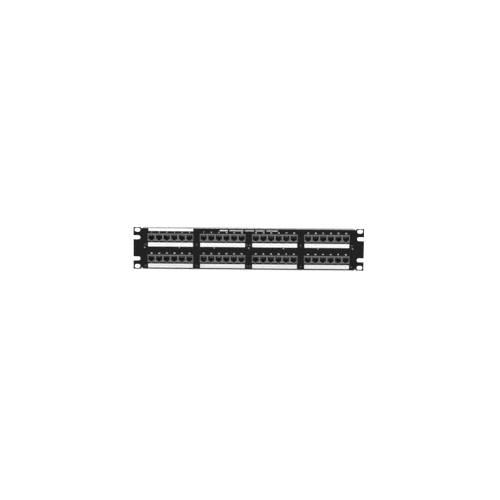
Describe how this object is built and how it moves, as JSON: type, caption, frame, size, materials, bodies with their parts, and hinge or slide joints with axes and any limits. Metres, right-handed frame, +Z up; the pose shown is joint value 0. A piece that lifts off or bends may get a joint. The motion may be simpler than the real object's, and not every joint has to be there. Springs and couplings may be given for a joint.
{
  "type": "patch panel",
  "caption": "Two-unit 19-inch rack patch panel with two rows of modular sockets in front, write-on label strips and punch-down blocks on circuit boards behind.",
  "frame": {"origin": "centre of the panel on the rear face of its ears, the plane that meets the rack's rails, midway between the four closed slots", "axes": "+X right as seen from the front, +Y back into the rack, +Z up"},
  "size_m": [0.4826, 0.0326, 0.0882],
  "materials": {
    "faceplate_coat": "satin",
    "rivet_steel": "satin",
    "standoff_brass": "satin",
    "black_screw": "satin",
    "plain_screw": "satin",
    "label_paper": "matte",
    "jack_plastic": "satin",
    "contact_gold": "gloss",
    "block_plastic": "satin",
    "clip_tin": "satin",
    "board_laminate": "satin",
    "cover_plastic": "satin",
    "wiring_paper": "matte"
  },
  "bodies": {
    "root": {"faceplate": "faceplate_coat", "stiffener_leg": "faceplate_coat", "stiffener_shelf": "faceplate_coat", "rivets": "rivet_steel", "standoffs": "standoff_brass", "front_screws": "black_screw", "rear_screws": "plain_screw", "name_strip": "label_paper", "write_on_strip_1": "label_paper", "write_on_strip_2": "label_paper", "write_on_strip_3": "label_paper", "write_on_strip_4": "label_paper", "write_on_strip_5": "label_paper", "write_on_strip_6": "label_paper", "write_on_strip_7": "label_paper", "write_on_strip_8": "label_paper", "jack_strip_1": "jack_plastic", "jack_strip_2": "jack_plastic", "jack_strip_3": "jack_plastic", "jack_strip_4": "jack_plastic", "jack_strip_5": "jack_plastic", "jack_strip_6": "jack_plastic", "jack_strip_7": "jack_plastic", "jack_strip_8": "jack_plastic", "jack_contacts_1": "contact_gold", "jack_contacts_2": "contact_gold", "jack_contacts_3": "contact_gold", "jack_contacts_4": "contact_gold", "jack_contacts_5": "contact_gold", "jack_contacts_6": "contact_gold", "jack_contacts_7": "contact_gold", "jack_contacts_8": "contact_gold", "punchdown_blocks_1": "block_plastic", "punchdown_blocks_2": "block_plastic", "punchdown_blocks_3": "block_plastic", "punchdown_blocks_4": "block_plastic", "punchdown_blocks_5": "block_plastic", "punchdown_blocks_6": "block_plastic", "punchdown_blocks_7": "block_plastic", "punchdown_blocks_8": "block_plastic", "punchdown_clips_1": "clip_tin", "punchdown_clips_2": "clip_tin", "punchdown_clips_3": "clip_tin", "punchdown_clips_4": "clip_tin", "punchdown_clips_5": "clip_tin", "punchdown_clips_6": "clip_tin", "punchdown_clips_7": "clip_tin", "punchdown_clips_8": "clip_tin", "circuit_board_1": "board_laminate", "circuit_board_2": "board_laminate", "circuit_board_3": "board_laminate", "circuit_board_4": "board_laminate", "rear_cover_1": "cover_plastic", "rear_cover_2": "cover_plastic", "rear_cover_3": "cover_plastic", "rear_cover_4": "cover_plastic", "wiring_label_1": "wiring_paper", "wiring_label_2": "wiring_paper", "wiring_label_3": "wiring_paper", "wiring_label_4": "wiring_paper"}
  },
  "joints": []
}
